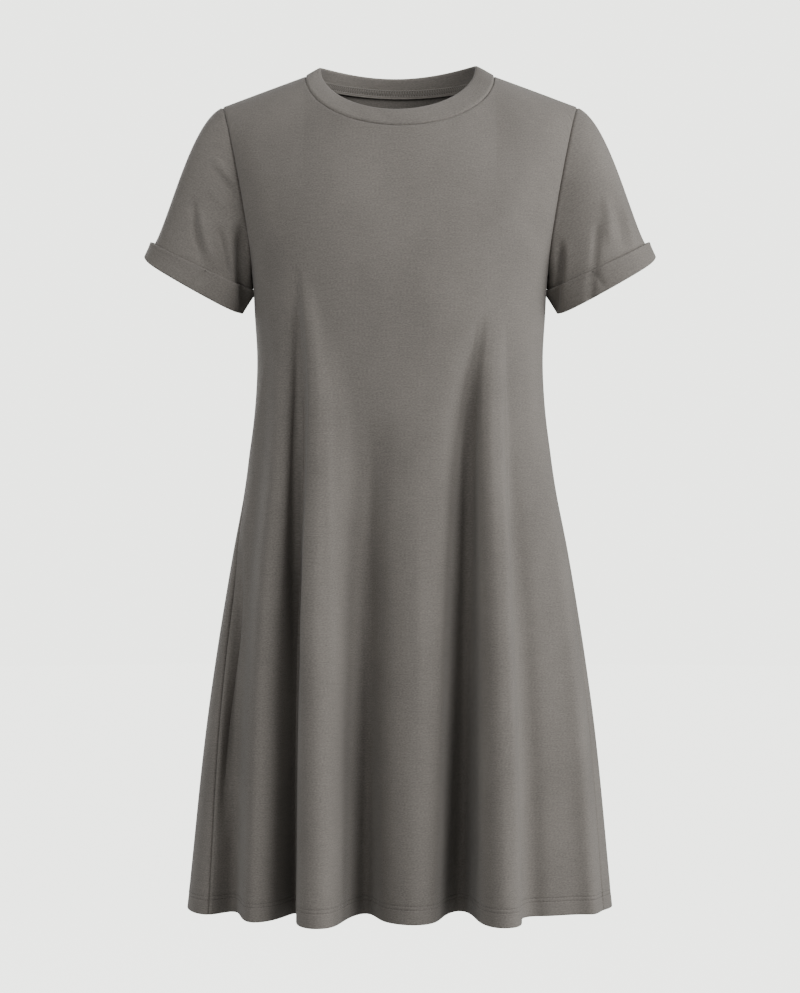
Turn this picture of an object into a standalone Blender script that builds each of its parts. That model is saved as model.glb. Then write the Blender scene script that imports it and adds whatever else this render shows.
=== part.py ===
"""T-shirt dress with a crew neckband and rolled cuffs, in the hollow shape that it has when it is worn.

Metres, +Z up. The front faces -Y and the wearer's left is +X. The origin is midway between the two high
shoulder points, where the neckband meets the shoulder seams. Every piece is a wall of cloth: its outer
face comes from a grid of points, and its inner face is that grid moved in by the wall's thickness.
"""

import math

import bpy
import numpy as np

# Cloth
JERSEY = 0.0012  # one layer of jersey
ROLLED = 0.0022  # two layers, as in the neckband and the rolled cuffs
SEAM_GAP = 0.0003  # between two pieces at a seam, and between the cuff and the sleeve under it
STEP = 1e-5  # points nearer than this are one point of a shared seam
SHARP = 0.60  # cosine between a piece's own normal and the seam's, from which the rims begin to line up
SMOOTH = 0.85

# Heights and widths of the body
HEM_Z = -0.866
UNDERARM_Z = -0.206
NECK_POINT_X = 0.0985  # high shoulder point
SHOULDER_X = 0.1855
UNDERARM_X = 0.1545
SHOULDER_SLOPE = 0.38
NECK_RISE = 0.010  # the shoulder line is steeper beside the neck
MIDDLE_ROUNDING = 0.030  # rounds the shoulder line where it would cross the middle
SHOULDER_ROUND_AT_NECK = 0.140  # radius of the roll from the shoulder seam to the chest
SHOULDER_ROUND_AT_ARM = 0.060
BOX_POWER = 2.4  # 2 is an ellipse, and more is boxier
BUST = {"x": 0.080, "z": -0.205, "across": 0.052, "up": 0.065, "depth": 0.010}
ARMHOLE_BOW = 0.0045  # how far the front and back of the armhole curve in

# Neckline and neckband
FRONT_NECK_DROP = 0.0616
BACK_NECK_DROP = 0.0114
BAND_HEIGHT = 0.020
BAND_TOP = {"x": 0.0815, "rise": 0.011, "front_y": -0.064, "front_z": -0.0439, "back_y": 0.055, "back_z": 0.0083}

# Sleeve and cuff. The end of the sleeve is an ellipse square to the sleeve's own axis.
SLEEVE_TILT = math.radians(29.5)  # from straight down, outwards
SLEEVE_END = (0.2183, 0.0, -0.2192)
SLEEVE_END_LONG = 0.0545
SLEEVE_END_SHORT = 0.0425
CUFF_HEIGHT = 0.021
CAP_FULLNESS = 0.62  # how far the sleeve keeps its direction as it leaves the armhole
SLEEVE_BULGE = 0.18  # how far the front and back of the sleeve turn out of the armhole

# How finely each piece is cut into faces
COLUMNS = 44
SHOULDER_COLUMNS = 8
SKIRT_ROWS = 11
YOKE_ROWS = 9
SLEEVE_ROWS = 5
CUFF_ROWS = 2
BAND_ROWS = 2

# Sections of the body without its folds: height, half its width, and its depth in front and behind.
SECTIONS = (
    {"z": 0.020, "half_width": 0.2130, "front": 0.0700, "back": 0.0800},
    {"z": -0.0325, "half_width": 0.1980, "front": 0.0760, "back": 0.0860},
    {"z": -0.0616, "half_width": 0.1885, "front": 0.0800, "back": 0.0920},
    {"z": -0.120, "half_width": 0.1730, "front": 0.0920, "back": 0.0990},
    {"z": -0.170, "half_width": 0.1620, "front": 0.0995, "back": 0.0990},
    {"z": -0.206, "half_width": 0.1545, "front": 0.1020, "back": 0.0960},
    {"z": -0.250, "half_width": 0.1515, "front": 0.1030, "back": 0.0920},
    {"z": -0.295, "half_width": 0.1490, "front": 0.1020, "back": 0.0880},
    {"z": -0.343, "half_width": 0.1510, "front": 0.1000, "back": 0.0870},
    {"z": -0.395, "half_width": 0.1573, "front": 0.0980, "back": 0.0870},
    {"z": -0.500, "half_width": 0.1774, "front": 0.0940, "back": 0.0880},
    {"z": -0.656, "half_width": 0.2015, "front": 0.0900, "back": 0.0900},
    {"z": -0.866, "half_width": 0.2225, "front": 0.0860, "back": 0.0920},
)

# The hem seen from above, from the right side seam across the front to the left one, then back behind.
# Each row is one crest, valley or edge of a fold: where it meets the hem, and the height where it begins.
FRONT_FOLDS = (
    {"name": "right side seam", "x": -0.1980, "y": -0.0400, "begins": -0.380},
    {"name": "side hollow", "x": -0.1690, "y": -0.0450, "begins": -0.370},
    {"name": "side fold", "x": -0.1370, "y": -0.0940, "begins": -0.300},
    {"name": "deep hollow", "x": -0.0960, "y": -0.0580, "begins": -0.250},
    {"name": "right fold's lip", "x": -0.0995, "y": -0.1040, "begins": -0.250},
    {"name": "right fold", "x": -0.0810, "y": -0.1260, "begins": -0.250},
    {"name": "right hollow", "x": -0.0430, "y": -0.0470, "begins": -0.300},
    {"name": "middle fold", "x": 0.0080, "y": -0.1060, "begins": -0.320},
    {"name": "left hollow", "x": 0.0600, "y": -0.0400, "begins": -0.280},
    {"name": "left fold", "x": 0.1010, "y": -0.1200, "begins": -0.260},
    {"name": "left fold's lip", "x": 0.1255, "y": -0.1050, "begins": -0.270},
    {"name": "lip's hollow", "x": 0.1300, "y": -0.0500, "begins": -0.270},
    {"name": "side ridge", "x": 0.1580, "y": -0.0520, "begins": -0.300},
    {"name": "flat side", "x": 0.1830, "y": -0.0400, "begins": -0.350},
    {"name": "left side seam", "x": 0.2130, "y": -0.0220, "begins": -0.380},
)
BACK_FOLDS = (
    {"name": "left side", "x": 0.2222, "y": 0.0040, "begins": -0.400},
    {"name": "left side fold", "x": 0.2020, "y": 0.0480, "begins": -0.360},
    {"name": "left back hollow", "x": 0.1640, "y": 0.0500, "begins": -0.330},
    {"name": "left back fold", "x": 0.1320, "y": 0.1050, "begins": -0.300},
    {"name": "left inner hollow", "x": 0.0980, "y": 0.0580, "begins": -0.280},
    {"name": "left middle fold", "x": 0.0520, "y": 0.1190, "begins": -0.270},
    {"name": "middle hollow", "x": 0.0120, "y": 0.0640, "begins": -0.330},
    {"name": "right middle fold", "x": -0.0360, "y": 0.1160, "begins": -0.290},
    {"name": "right inner hollow", "x": -0.0740, "y": 0.0580, "begins": -0.270},
    {"name": "right back fold", "x": -0.1190, "y": 0.1110, "begins": -0.310},
    {"name": "right back hollow", "x": -0.1560, "y": 0.0560, "begins": -0.340},
    {"name": "right side fold", "x": -0.1960, "y": 0.0460, "begins": -0.370},
    {"name": "right side", "x": -0.2222, "y": -0.0010, "begins": -0.400},
)
FOLD_ONSET = 0.10  # share of a fold's height over which it eases in
FRONT, BACK = -1, 1
FINE = 1201  # points on a curve that is measured along its length

COLOURS = {"jersey": (0.196, 0.182, 0.165, 1.0), "double": (0.188, 0.174, 0.158, 1.0)}
ROUGHNESS = 0.85


def along(column, z):
    """A column of SECTIONS at the height z, on a smooth curve through the rows."""
    rows = sorted(SECTIONS, key=lambda row: row["z"])
    heights = np.array([row["z"] for row in rows])
    values = np.array([row[column] for row in rows])
    slopes = np.gradient(values, heights)
    z = np.clip(z, heights[0], heights[-1])
    i = np.clip(np.searchsorted(heights, z) - 1, 0, len(heights) - 2)
    step = heights[i + 1] - heights[i]
    t = (z - heights[i]) / step
    start, end = values[i], values[i + 1]
    return (
        start * (1 + 2 * t) * (1 - t) ** 2
        + end * t**2 * (3 - 2 * t)
        + slopes[i] * step * t * (1 - t) ** 2
        - slopes[i + 1] * step * t**2 * (1 - t)
    )


def shoulder_z(x):
    """Height of the shoulder line, and of the imagined line that continues it through the neck."""
    inside = np.clip(1 - (x / NECK_POINT_X) ** 2, 0, 1)
    fall = np.hypot(x, MIDDLE_ROUNDING) - math.hypot(NECK_POINT_X, MIDDLE_ROUNDING)
    return NECK_RISE * inside**2 - SHOULDER_SLOPE * fall


def shoulder_roll(x, z):
    """0 on the shoulder line, rising to 1 where the roll of the shoulder has become chest or back."""
    outwards = np.clip((np.abs(x) - NECK_POINT_X) / (SHOULDER_X - NECK_POINT_X), 0, 1)
    radius = SHOULDER_ROUND_AT_NECK + (SHOULDER_ROUND_AT_ARM - SHOULDER_ROUND_AT_NECK) * outwards
    below = np.clip((shoulder_z(x) - z) / radius, 0, 1)
    return np.sqrt(1 - (1 - below) ** 2)


def body_y(side, x, z):
    """Depth of the body's front or back at a point of the front view."""
    share = np.clip(np.abs(x) / along("half_width", z), 0, 1)
    depth = along("front" if side == FRONT else "back", z)
    if side == FRONT:
        off_x = (np.abs(x) - BUST["x"]) / BUST["across"]
        off_z = (z - BUST["z"]) / BUST["up"]
        depth = depth + BUST["depth"] * np.exp(-(off_x**2) - off_z**2)
    return side * depth * (1 - share**BOX_POWER) ** (1 / BOX_POWER) * shoulder_roll(x, z)


def by_length(points, shares):
    """The points at these shares of the length of a curve."""
    steps = np.linalg.norm(np.diff(points, axis=0), axis=1)
    length = np.concatenate([[0], np.cumsum(steps)])
    return np.stack([np.interp(shares, length / length[-1], points[:, k]) for k in range(points.shape[1])], axis=1)


def plain_section(side, z, shares):
    """x and y of the body's section without folds, at shares of its length from the right seam to the left."""
    angle = np.linspace(-math.pi / 2, math.pi / 2, FINE)
    x = along("half_width", z) * np.sign(np.sin(angle)) * np.abs(np.sin(angle)) ** (2 / BOX_POWER)
    return by_length(np.stack([x, body_y(side, x, z)], axis=1), shares)


def closed_spline(points):
    """FINE points on each span of the smooth closed curve through the points."""
    count = len(points)
    span = np.sqrt(np.linalg.norm(np.roll(points, -1, axis=0) - points, axis=1))
    before = np.roll(span, 1)
    matrix = np.zeros((count, count))
    right = np.zeros_like(points)
    for i in range(count):
        matrix[i, i - 1] = span[i]
        matrix[i, i] = 2 * (span[i] + before[i])
        matrix[i, (i + 1) % count] = before[i]
        here = (points[(i + 1) % count] - points[i]) / span[i]
        last = (points[i] - points[i - 1]) / before[i]
        right[i] = 3 * (span[i] * last + before[i] * here)
    slope = np.linalg.solve(matrix, right)
    t = np.linspace(0, 1, FINE)[:, None]
    spans = []
    for i in range(count):
        j = (i + 1) % count
        spans.append(
            points[i] * (1 + 2 * t) * (1 - t) ** 2
            + points[j] * t**2 * (3 - 2 * t)
            + slope[i] * span[i] * t * (1 - t) ** 2
            - slope[j] * span[i] * t**2 * (1 - t)
        )
    return spans


def hem_of(side, shares):
    """x and y of the hem with its folds, and the height where the fold at each share begins."""
    rows = FRONT_FOLDS + BACK_FOLDS
    spans = closed_spline(np.array([[row["x"], row["y"]] for row in rows]))
    last = len(FRONT_FOLDS) - 1
    if side == FRONT:
        chosen, named = spans[:last], FRONT_FOLDS
    else:
        chosen = [span[::-1] for span in reversed(spans[last:])]
        named = FRONT_FOLDS[:1] + BACK_FOLDS[::-1] + FRONT_FOLDS[-1:]
    curve = np.concatenate([span[:-1] for span in chosen] + [chosen[-1][-1:]])
    lengths = [np.linalg.norm(np.diff(span, axis=0), axis=1).sum() for span in chosen]
    places = np.concatenate([[0], np.cumsum(lengths)]) / sum(lengths)
    return by_length(curve, shares), np.interp(shares, places, [row["begins"] for row in named])


def fold_growth(begins, z):
    """0 where a fold begins and 1 at the hem, nearly in proportion to the distance between."""
    share = np.clip((begins - z) / (begins - HEM_Z), 0, 1)
    eased = share - FOLD_ONSET * (1 - np.exp(-share / FOLD_ONSET))
    return eased / (1 - FOLD_ONSET * (1 - math.exp(-1 / FOLD_ONSET)))


def section(side, z, shares):
    """The body's section at a height under the armholes, with its folds."""
    plain = plain_section(side, z, shares)
    hem, begins = hem_of(side, shares)
    growth = fold_growth(begins, z)[:, None]
    flat = plain + growth * (hem - plain_section(side, HEM_Z, shares))
    return np.column_stack([flat, np.full(len(flat), z)])


def neckline(side, shares):
    """x, y and z of the seam under the neckband, at shares of the way from the right to the left."""
    angle = math.pi * shares
    x = -NECK_POINT_X * np.cos(angle)
    z = -(FRONT_NECK_DROP if side == FRONT else BACK_NECK_DROP) * np.sin(angle)
    return np.column_stack([x, body_y(side, x, z), z])


def top_edge(side, shares):
    """The top of a body panel: a shoulder seam, the neckline and the other shoulder seam."""
    share = SHOULDER_COLUMNS / COLUMNS
    across = np.interp(shares, [0, share, 1 - share, 1], [-SHOULDER_X, -NECK_POINT_X, NECK_POINT_X, SHOULDER_X])
    seam = np.column_stack([across, 0 * across, shoulder_z(across)])
    neck = neckline(side, np.clip((shares - share) / (1 - 2 * share), 0, 1))
    outside = (shares < share) | (shares > 1 - share)
    return np.where(outside[:, None], seam, neck)


def armhole_angles():
    """Angles round the armhole at the yoke's rows: pi at the underarm, 0 at the shoulder."""
    return np.linspace(math.pi, 0, YOKE_ROWS + 1)


def body_grid(side):
    """The outer face of the front or back: rows from the hem to the shoulder seams and neckline."""
    shares = np.linspace(0, 1, COLUMNS + 1)
    rows = [section(side, z, shares) for z in np.linspace(HEM_Z, UNDERARM_Z, SKIRT_ROWS + 1)]
    lower, upper = rows[-1], top_edge(side, shares)
    share = SHOULDER_COLUMNS / COLUMNS
    fan = np.interp(shares, [0, share, 0.5, 1 - share, 1], [0, -1, 0, 1, 0]) * (upper[:, 2] - lower[:, 2])
    for angle in armhole_angles()[1:]:
        rise = (1 + math.cos(angle)) / 2
        mixed = lower * (1 - rise) + upper * rise
        x = mixed[:, 0] + fan * rise**2 * (1 - rise) + ARMHOLE_BOW * math.sin(angle) * (1 - 2 * shares)
        rows.append(np.column_stack([x, body_y(side, x, mixed[:, 2]), mixed[:, 2]]))
    rows[-1] = upper
    return np.array(rows)


def sleeve_axis():
    return np.array([math.sin(SLEEVE_TILT), 0, -math.cos(SLEEVE_TILT)])


def sleeve_end(angles, back_along=0.0):
    """The ellipse at the end of the left sleeve, or one further up the sleeve."""
    centre = np.array(SLEEVE_END) - sleeve_axis() * back_along
    outwards = np.array([math.cos(SLEEVE_TILT), 0, math.sin(SLEEVE_TILT)])
    forwards = np.array([0, -1, 0])
    return (
        centre
        + SLEEVE_END_LONG * np.cos(angles)[:, None] * outwards
        + SLEEVE_END_SHORT * np.sin(angles)[:, None] * forwards
    )


def sleeve_grid(front, back):
    """The left sleeve's outer face: rings from the armhole to the cuff's fold."""
    rows = np.arange(-1, -2 - YOKE_ROWS, -1)
    armhole = np.concatenate([front[rows, -1], back[rows[::-1], -1][1:-1]])
    angles = np.concatenate([armhole_angles()[::-1], 2 * math.pi - armhole_angles()[1:-1]])
    cuff_top = sleeve_end(angles, CUFF_HEIGHT)
    reach = np.linalg.norm(cuff_top - armhole, axis=1)[:, None] * CAP_FULLNESS
    down = ((1 - np.cos(angles)) / 2)[:, None]
    shoulder = np.array([1, 0, -SHOULDER_SLOPE]) / math.hypot(1, SHOULDER_SLOPE)
    leaving = shoulder * (1 - down) + sleeve_axis() * down
    leaving = leaving + SLEEVE_BULGE * np.sin(angles)[:, None] * np.array([0, -1, 0])
    rings = []
    for t in np.linspace(0, 1, SLEEVE_ROWS + 1):
        rings.append(
            armhole * (1 + 2 * t) * (1 - t) ** 2
            + cuff_top * t**2 * (3 - 2 * t)
            + leaving * reach * t * (1 - t) ** 2
            - sleeve_axis() * reach * t**2 * (1 - t)
        )
    for row in range(1, CUFF_ROWS + 1):
        rings.append(sleeve_end(angles, CUFF_HEIGHT * (1 - row / CUFF_ROWS)))
    return np.array(rings)


def band_grid(front, back):
    """The neckband's outer face: rings from the neckline's seam to the fold at its top."""
    middle = slice(SHOULDER_COLUMNS, COLUMNS - SHOULDER_COLUMNS + 1)
    seam = np.concatenate([front[-1, middle], back[-1, middle][::-1][1:-1]])
    count = COLUMNS - 2 * SHOULDER_COLUMNS
    angle = np.linspace(0, 2 * math.pi, 2 * count + 1)[:-1]
    is_front = np.sin(angle) > 0
    away = np.abs(np.sin(angle))
    low = np.where(is_front, BAND_TOP["front_z"], BAND_TOP["back_z"])
    deep = np.where(is_front, BAND_TOP["front_y"], BAND_TOP["back_y"])
    aim = np.column_stack(
        [-BAND_TOP["x"] * np.cos(angle), deep * away, BAND_TOP["rise"] + (low - BAND_TOP["rise"]) * away]
    )
    way = aim - seam
    top = seam + BAND_HEIGHT * way / np.linalg.norm(way, axis=1)[:, None]
    return np.array([seam + (top - seam) * share for share in np.linspace(0, 1, BAND_ROWS + 1)])


def face_normals(grid, closed):
    """Unit normals at a grid's points, from the differences between neighbours."""
    up = np.gradient(grid, axis=0)
    if closed:
        across = np.roll(grid, -1, axis=1) - np.roll(grid, 1, axis=1)
    else:
        across = np.gradient(grid, axis=1)
    normal = np.cross(across, up)
    return normal / np.maximum(np.linalg.norm(normal, axis=2), 1e-12)[:, :, None]


def is_edge(grid, closed):
    edge = np.zeros(grid.shape[:2], bool)
    edge[[0, -1]] = True
    if not closed:
        edge[:, [0, -1]] = True
    return edge


def key_of(point):
    return tuple(np.round(point / STEP).astype(int))


def shared_normals(pieces):
    """The mean of the normals of all the pieces that meet at each point of their edges."""
    sums = {}
    for piece in pieces:
        edge = is_edge(piece["grid"], piece["closed"])
        for point, normal in zip(piece["grid"][edge], piece["normals"][edge], strict=True):
            sums[key_of(point)] = sums.get(key_of(point), 0) + normal
    return {key: total / np.linalg.norm(total) for key, total in sums.items()}


def seam_directions(pieces):
    """The way through the cloth at every point. At a seam that is bent outwards or flat, the pieces share it,
    and their rims lie face to face. In a sharp inner corner each piece keeps its own."""
    shared = shared_normals(pieces)
    panels = shared_normals(pieces[:2])
    for piece in pieces:
        piece["through"] = piece["normals"].copy()
        edge = is_edge(piece["grid"], piece["closed"])
        found = []
        for point, normal in zip(piece["grid"][edge], piece["normals"][edge], strict=True):
            own = normal if piece["closed"] else panels[key_of(point)]
            mean = shared[key_of(point)]
            share = np.clip((own @ mean - SHARP) / (SMOOTH - SHARP), 0, 1)
            blended = own * (1 - share) + mean * share
            found.append(blended / np.linalg.norm(blended))
        piece["through"][edge] = found


def inwards(edge, inside, normals):
    """Unit vectors in the cloth that point away from an edge and square to it."""
    square = np.cross(normals, np.gradient(edge, axis=0))
    square = square * np.sign(np.sum(square * (inside - edge)))
    return square / np.linalg.norm(square, axis=1)[:, None]


def drawn_in(piece, gap):
    """A piece's grid with its edges moved into the piece by gap, along the cloth."""
    grid, normals = piece["grid"], piece["normals"]
    moved = grid.copy()
    for edge, inside in ((0, 1), (-1, -2)):
        if piece["closed"]:
            way = grid[inside] - grid[edge]
            moved[edge] += gap * way / np.linalg.norm(way, axis=1)[:, None]
        else:
            moved[edge] += gap * inwards(grid[edge], grid[inside], normals[edge])
            moved[:, edge] += gap * inwards(grid[:, edge], grid[:, inside], normals[:, edge])
    return moved


def wall(name, outer, inner, closed, material):
    """A closed solid between two grids of points of the same shape."""
    rows, columns = outer.shape[:2]
    count = rows * columns
    points = np.concatenate([outer.reshape(-1, 3), inner.reshape(-1, 3)])
    faces = []
    last = columns if closed else columns - 1
    for i in range(rows - 1):
        for j in range(last):
            a, b = i * columns + j, i * columns + (j + 1) % columns
            c, d = b + columns, a + columns
            faces.append((a, b, c, d))
            faces.append((d + count, c + count, b + count, a + count))
    for j in range(last):
        a, b = j, (j + 1) % columns
        faces.append((a + count, b + count, b, a))
        a, b = a + (rows - 1) * columns, b + (rows - 1) * columns
        faces.append((a, b, b + count, a + count))
    if not closed:
        for i in range(rows - 1):
            a, b = i * columns, (i + 1) * columns
            faces.append((a, b, b + count, a + count))
            a, b = a + columns - 1, b + columns - 1
            faces.append((a + count, b + count, b, a))
    mesh = bpy.data.meshes.new(name)
    mesh.from_pydata([tuple(p) for p in points], [], faces)
    mesh.materials.append(material)
    mesh.shade_smooth()
    mesh.set_sharp_from_angle(angle=math.radians(50))
    mesh.update()
    piece = bpy.data.objects.new(name, mesh)
    bpy.context.scene.collection.objects.link(piece)
    return piece


def cloth_material(name):
    material = bpy.data.materials.new(name)
    material.use_nodes = True
    shader = material.node_tree.nodes["Principled BSDF"]
    shader.inputs["Base Color"].default_value = COLOURS[name]
    shader.inputs["Roughness"].default_value = ROUGHNESS
    shader.inputs["Metallic"].default_value = 0.0
    return material


def mirrored(grid):
    """The same piece for the other side of the body, with its faces still pointing out."""
    flipped = grid * np.array([-1, 1, 1])
    return np.concatenate([flipped[:, :1], flipped[:, :0:-1]], axis=1)


def piece_of(name, grid, closed, thickness, material):
    return {
        "name": name,
        "grid": grid,
        "closed": closed,
        "normals": face_normals(grid, closed),
        "thickness": thickness,
        "material": material,
    }


def build():
    for old in list(bpy.data.objects):
        bpy.data.objects.remove(old)
    jersey, double = cloth_material("jersey"), cloth_material("double")
    front = body_grid(FRONT)
    back = body_grid(BACK)
    left_sleeve = sleeve_grid(front, back)
    right_sleeve = mirrored(left_sleeve)
    pieces = [
        piece_of("front", front, False, JERSEY, jersey),
        piece_of("back", back[:, ::-1], False, JERSEY, jersey),
        piece_of("sleeve_left", left_sleeve[:, ::-1][::-1], True, JERSEY, jersey),
        piece_of("sleeve_right", right_sleeve[:, ::-1][::-1], True, JERSEY, jersey),
        piece_of("neckband", band_grid(front, back), True, ROLLED, double),
    ]
    seam_directions(pieces)
    for piece in pieces:
        outer = drawn_in(piece, SEAM_GAP / 2)
        inner = outer - piece["through"] * piece["thickness"]
        wall(piece["name"], outer, inner, piece["closed"], piece["material"])
        if piece["name"].startswith("sleeve"):
            turned_up = slice(0, CUFF_ROWS + 1)
            under = outer[turned_up] + piece["normals"][turned_up] * SEAM_GAP
            over = under + piece["normals"][turned_up] * ROLLED
            wall(piece["name"].replace("sleeve", "cuff"), over, under, True, double)


build()
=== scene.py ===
"""The finished look of the t-shirt dress: its cloth, seams, folds, stitches, light and camera.

Metres, +Z up, with the front facing -Y and the wearer's left at +X, as in the part. The body, sleeves and
neckband are shaped nearly as the part's are and cut much finer. The front's folds have more points, and lie
up to 18 mm from the part's at the hem. Each piece gets its seams, creases and thickness here.
"""

import math

import bpy
import numpy as np
from mathutils import Euler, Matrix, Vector


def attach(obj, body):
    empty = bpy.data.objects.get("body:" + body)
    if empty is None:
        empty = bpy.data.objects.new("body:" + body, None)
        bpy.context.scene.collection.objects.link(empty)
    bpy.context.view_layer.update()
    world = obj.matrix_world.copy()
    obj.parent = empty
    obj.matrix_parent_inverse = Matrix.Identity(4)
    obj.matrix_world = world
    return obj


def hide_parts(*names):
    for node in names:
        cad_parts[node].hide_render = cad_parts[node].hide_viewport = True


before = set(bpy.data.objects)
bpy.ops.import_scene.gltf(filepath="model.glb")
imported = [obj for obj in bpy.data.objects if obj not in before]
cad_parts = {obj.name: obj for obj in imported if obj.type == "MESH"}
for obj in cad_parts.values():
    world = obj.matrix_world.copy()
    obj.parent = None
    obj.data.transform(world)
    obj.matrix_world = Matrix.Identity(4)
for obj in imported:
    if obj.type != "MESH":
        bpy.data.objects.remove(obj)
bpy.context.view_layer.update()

# Cloth
JERSEY = 0.0011  # one layer
DOUBLE = 0.0021  # two layers, as in the neckband
HEM_DEPTH = 0.0175
HEM_EXTRA = 0.0009  # the turned-up layer behind the hem
HEM_STITCHES = (0.0148, 0.0186)  # two rows, above the hem
HEM_EDGE = 0.0010  # over which its fold is rounded
HEM_LAYER_PAST = 0.002  # how far the turned-up layer reaches past the hem's depth
HEM_LAYER_FADE = 0.0008
PUCKER = {"height": 0.00022, "length": 0.0110, "wander": 0.071, "reach": 0.0055}
STITCH_GROOVE = {"depth": 0.00030, "half_width": 0.0006}
SEAM_GAP = 0.0001
SEAM_SINK = 0.0013  # how deep the cloth rolls into a seam
SEAM_ROLL = 0.0021  # how far from the seam it begins to roll
SEAM_SWELL = 0.00016  # and how much it swells beside that
SHARP = math.radians(60)
STEP = 1e-6

# The body, as in the part, but with a lower hem and a flatter bust
HEM_Z = -0.8675
UNDERARM_Z = -0.206
NECK_POINT_X = 0.0985
SHOULDER_X = 0.1855
SHOULDER_SLOPE = 0.38
NECK_RISE = 0.010
MIDDLE_ROUNDING = 0.030
SHOULDER_ROUND_AT_NECK = 0.140
SHOULDER_ROUND_AT_ARM = 0.060
BOX_POWER = 2.4
BUST = {"x": 0.080, "z": -0.205, "across": 0.052, "up": 0.065, "depth": 0.0028}
ARMHOLE_BOW = 0.0045
SHOULDER_SHARE = 8 / 44  # of the columns, on each side, that end on a shoulder seam

# Neckline and neckband
FRONT_NECK_DROP = 0.0616
BACK_NECK_DROP = 0.0114
BAND_TOP_X = 0.0808
BAND_SHIFT = -0.0020  # the neckband's top sits a little towards the wearer's right
BAND_TILT = 0.0010  # and a little higher on the left
BAND_RISE = 0.0113
BAND_FRONT = {"deep": -0.0640, "fall": 0.0542}
BAND_BACK = {"deep": 0.0550, "lift": 0.0099, "fall": 0.0134}
BAND_PUFF = 0.0011
ALLOWANCE = 0.0088  # the neck seam's edge, pressed up inside the band
ALLOWANCE_THICK = 0.0009
ALLOWANCE_WAVES = ((0.00025, 0.9, 0.0), (0.0002, 2.3, 1.0))  # how its edge wavers: height, turns, start

# Threads
HEM_THREAD = {"radius": 0.00016, "length": 0.0024, "gap": 0.0006, "rise": 0.00012}
STITCH_PLACES = (0, 0.16, 0.5, 0.84, 1)  # along a stitch
STITCH_LIFTS = (-1.6, 0.6, 1.0, 0.6, -1.6)  # off the cloth there, in rises
OVERLOCK = {"radius": 0.00036, "pitch": 0.0027, "steps": 8, "low": 0.0016, "needle": 0.0017}
TACK_THREAD = {"radius": 0.00018, "apart": 0.00035}
TACK_UPS = (-0.0013, -0.0009, 0.0, 0.0009, 0.0013)
TACK_LIFTS = (-0.0004, 0.0003, 0.0002, -0.0017, -0.0028)
THREAD_SIDES = 6

# Knit and colours
WALE = 0.00085  # a stitch's width
COURSE = 0.00070  # and height
FIBRES = {"across": 460.0, "up": 900.0, "detail": 3.0, "roughness": 0.6, "tone": 2.0}
SLUBS = {"across": 60.0, "up": 480.0, "detail": 2.0, "roughness": 0.5, "tone": 0.45}
CLOUDS = {"across": 13.0, "up": 9.0, "detail": 3.0, "roughness": 0.5, "tone": 0.8}
TAUPE = {"light": (0.262, 0.242, 0.218, 1), "dark": (0.150, 0.138, 0.125, 1)}
PALE_TAUPE = {"light": (0.360, 0.336, 0.306, 1), "dark": (0.240, 0.222, 0.200, 1)}
DARK_TAUPE = {"light": (0.150, 0.138, 0.125, 1), "dark": (0.085, 0.078, 0.070, 1)}

# Sleeve and cuff
SLEEVE_TILT = math.radians(29.5)
SLEEVE_END = (0.2165, 0.0, -0.2187)
SLEEVE_END_LONG = 0.0563
SLEEVE_END_SHORT = 0.0425
CUFF_OUTER = 0.0185  # the cuff's height at the outside of the arm
CUFF_INNER = 0.0275  # and at the underarm
OPENING_TILT = 0.092  # how much lower the opening is in front
CUFF_THICK = 0.0027
CUFF_OFF_SLEEVE = 0.0005
CUFF_TOP_PROUD = 0.0018  # how much further it stands off at the top
CUFF_WAVE = 0.0003  # how far its top edge wavers, and how far its outside swells
CUFF_WAVES = 5
CUFF_END = 0.04  # share of the cuff's height at which the sleeve's own cloth ends
CUFF_STRAIGHT = (0.97, 0.03)  # shares of its height between which it is flat
CUFF_FOLD_ROUND = 0.9  # how round its fold is, and its top edge
CUFF_TOP_ROUND = 0.8
CUFF_CORNER = 0.0032  # how much its lower corners are rounded
CUFF_CORNER_REACH = 0.10
INNER_CORNER = 0.4  # and the share of that at the underarm
CAP_PUFF = 0.05  # how much fuller the sleeve is at its top
CAP_FULLNESS = 0.62
SLEEVE_BULGE = 0.06



def section(z, half_width, front, back):
    """The plain body at a height: half its width, and how far its front and back stand out."""
    return {"z": z, "half_width": half_width, "front": front, "back": back}


def fold(name, x, y, begins, top=None):
    """A crest, hollow or edge of a fold: x and y at the hem, the height where it begins and, in front, the x
    at the top of its line."""
    return {"name": name, "x": x, "y": y, "begins": begins, "top": top}


def line(name, start, end, width, height, steep=1, to_end=False):
    """A soft crease from start to end, as x and z in the front or back view. A negative height is a hollow.

    Seen from in front, steep narrows the side to the left of the line's direction. to_end keeps the crease as
    deep where the line ends.
    """
    ends = {"name": name, "start": start, "end": end}
    return {**ends, "width": width, "height": height, "steep": steep, "to_end": to_end}


SECTIONS = (
    section(0.020, 0.2130, 0.0700, 0.0800),
    section(-0.0325, 0.1980, 0.0760, 0.0860),
    section(-0.0616, 0.1885, 0.0800, 0.0920),
    section(-0.120, 0.1730, 0.0920, 0.0990),
    section(-0.170, 0.1620, 0.0995, 0.0990),
    section(-0.206, 0.1545, 0.1020, 0.0960),
    section(-0.250, 0.1515, 0.1030, 0.0920),
    section(-0.295, 0.1490, 0.1020, 0.0880),
    section(-0.343, 0.1510, 0.1000, 0.0870),
    section(-0.395, 0.1573, 0.0980, 0.0870),
    section(-0.500, 0.1774, 0.0940, 0.0880),
    section(-0.656, 0.2015, 0.0900, 0.0900),
    section(-0.866, 0.2225, 0.0860, 0.0920),
)

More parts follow.
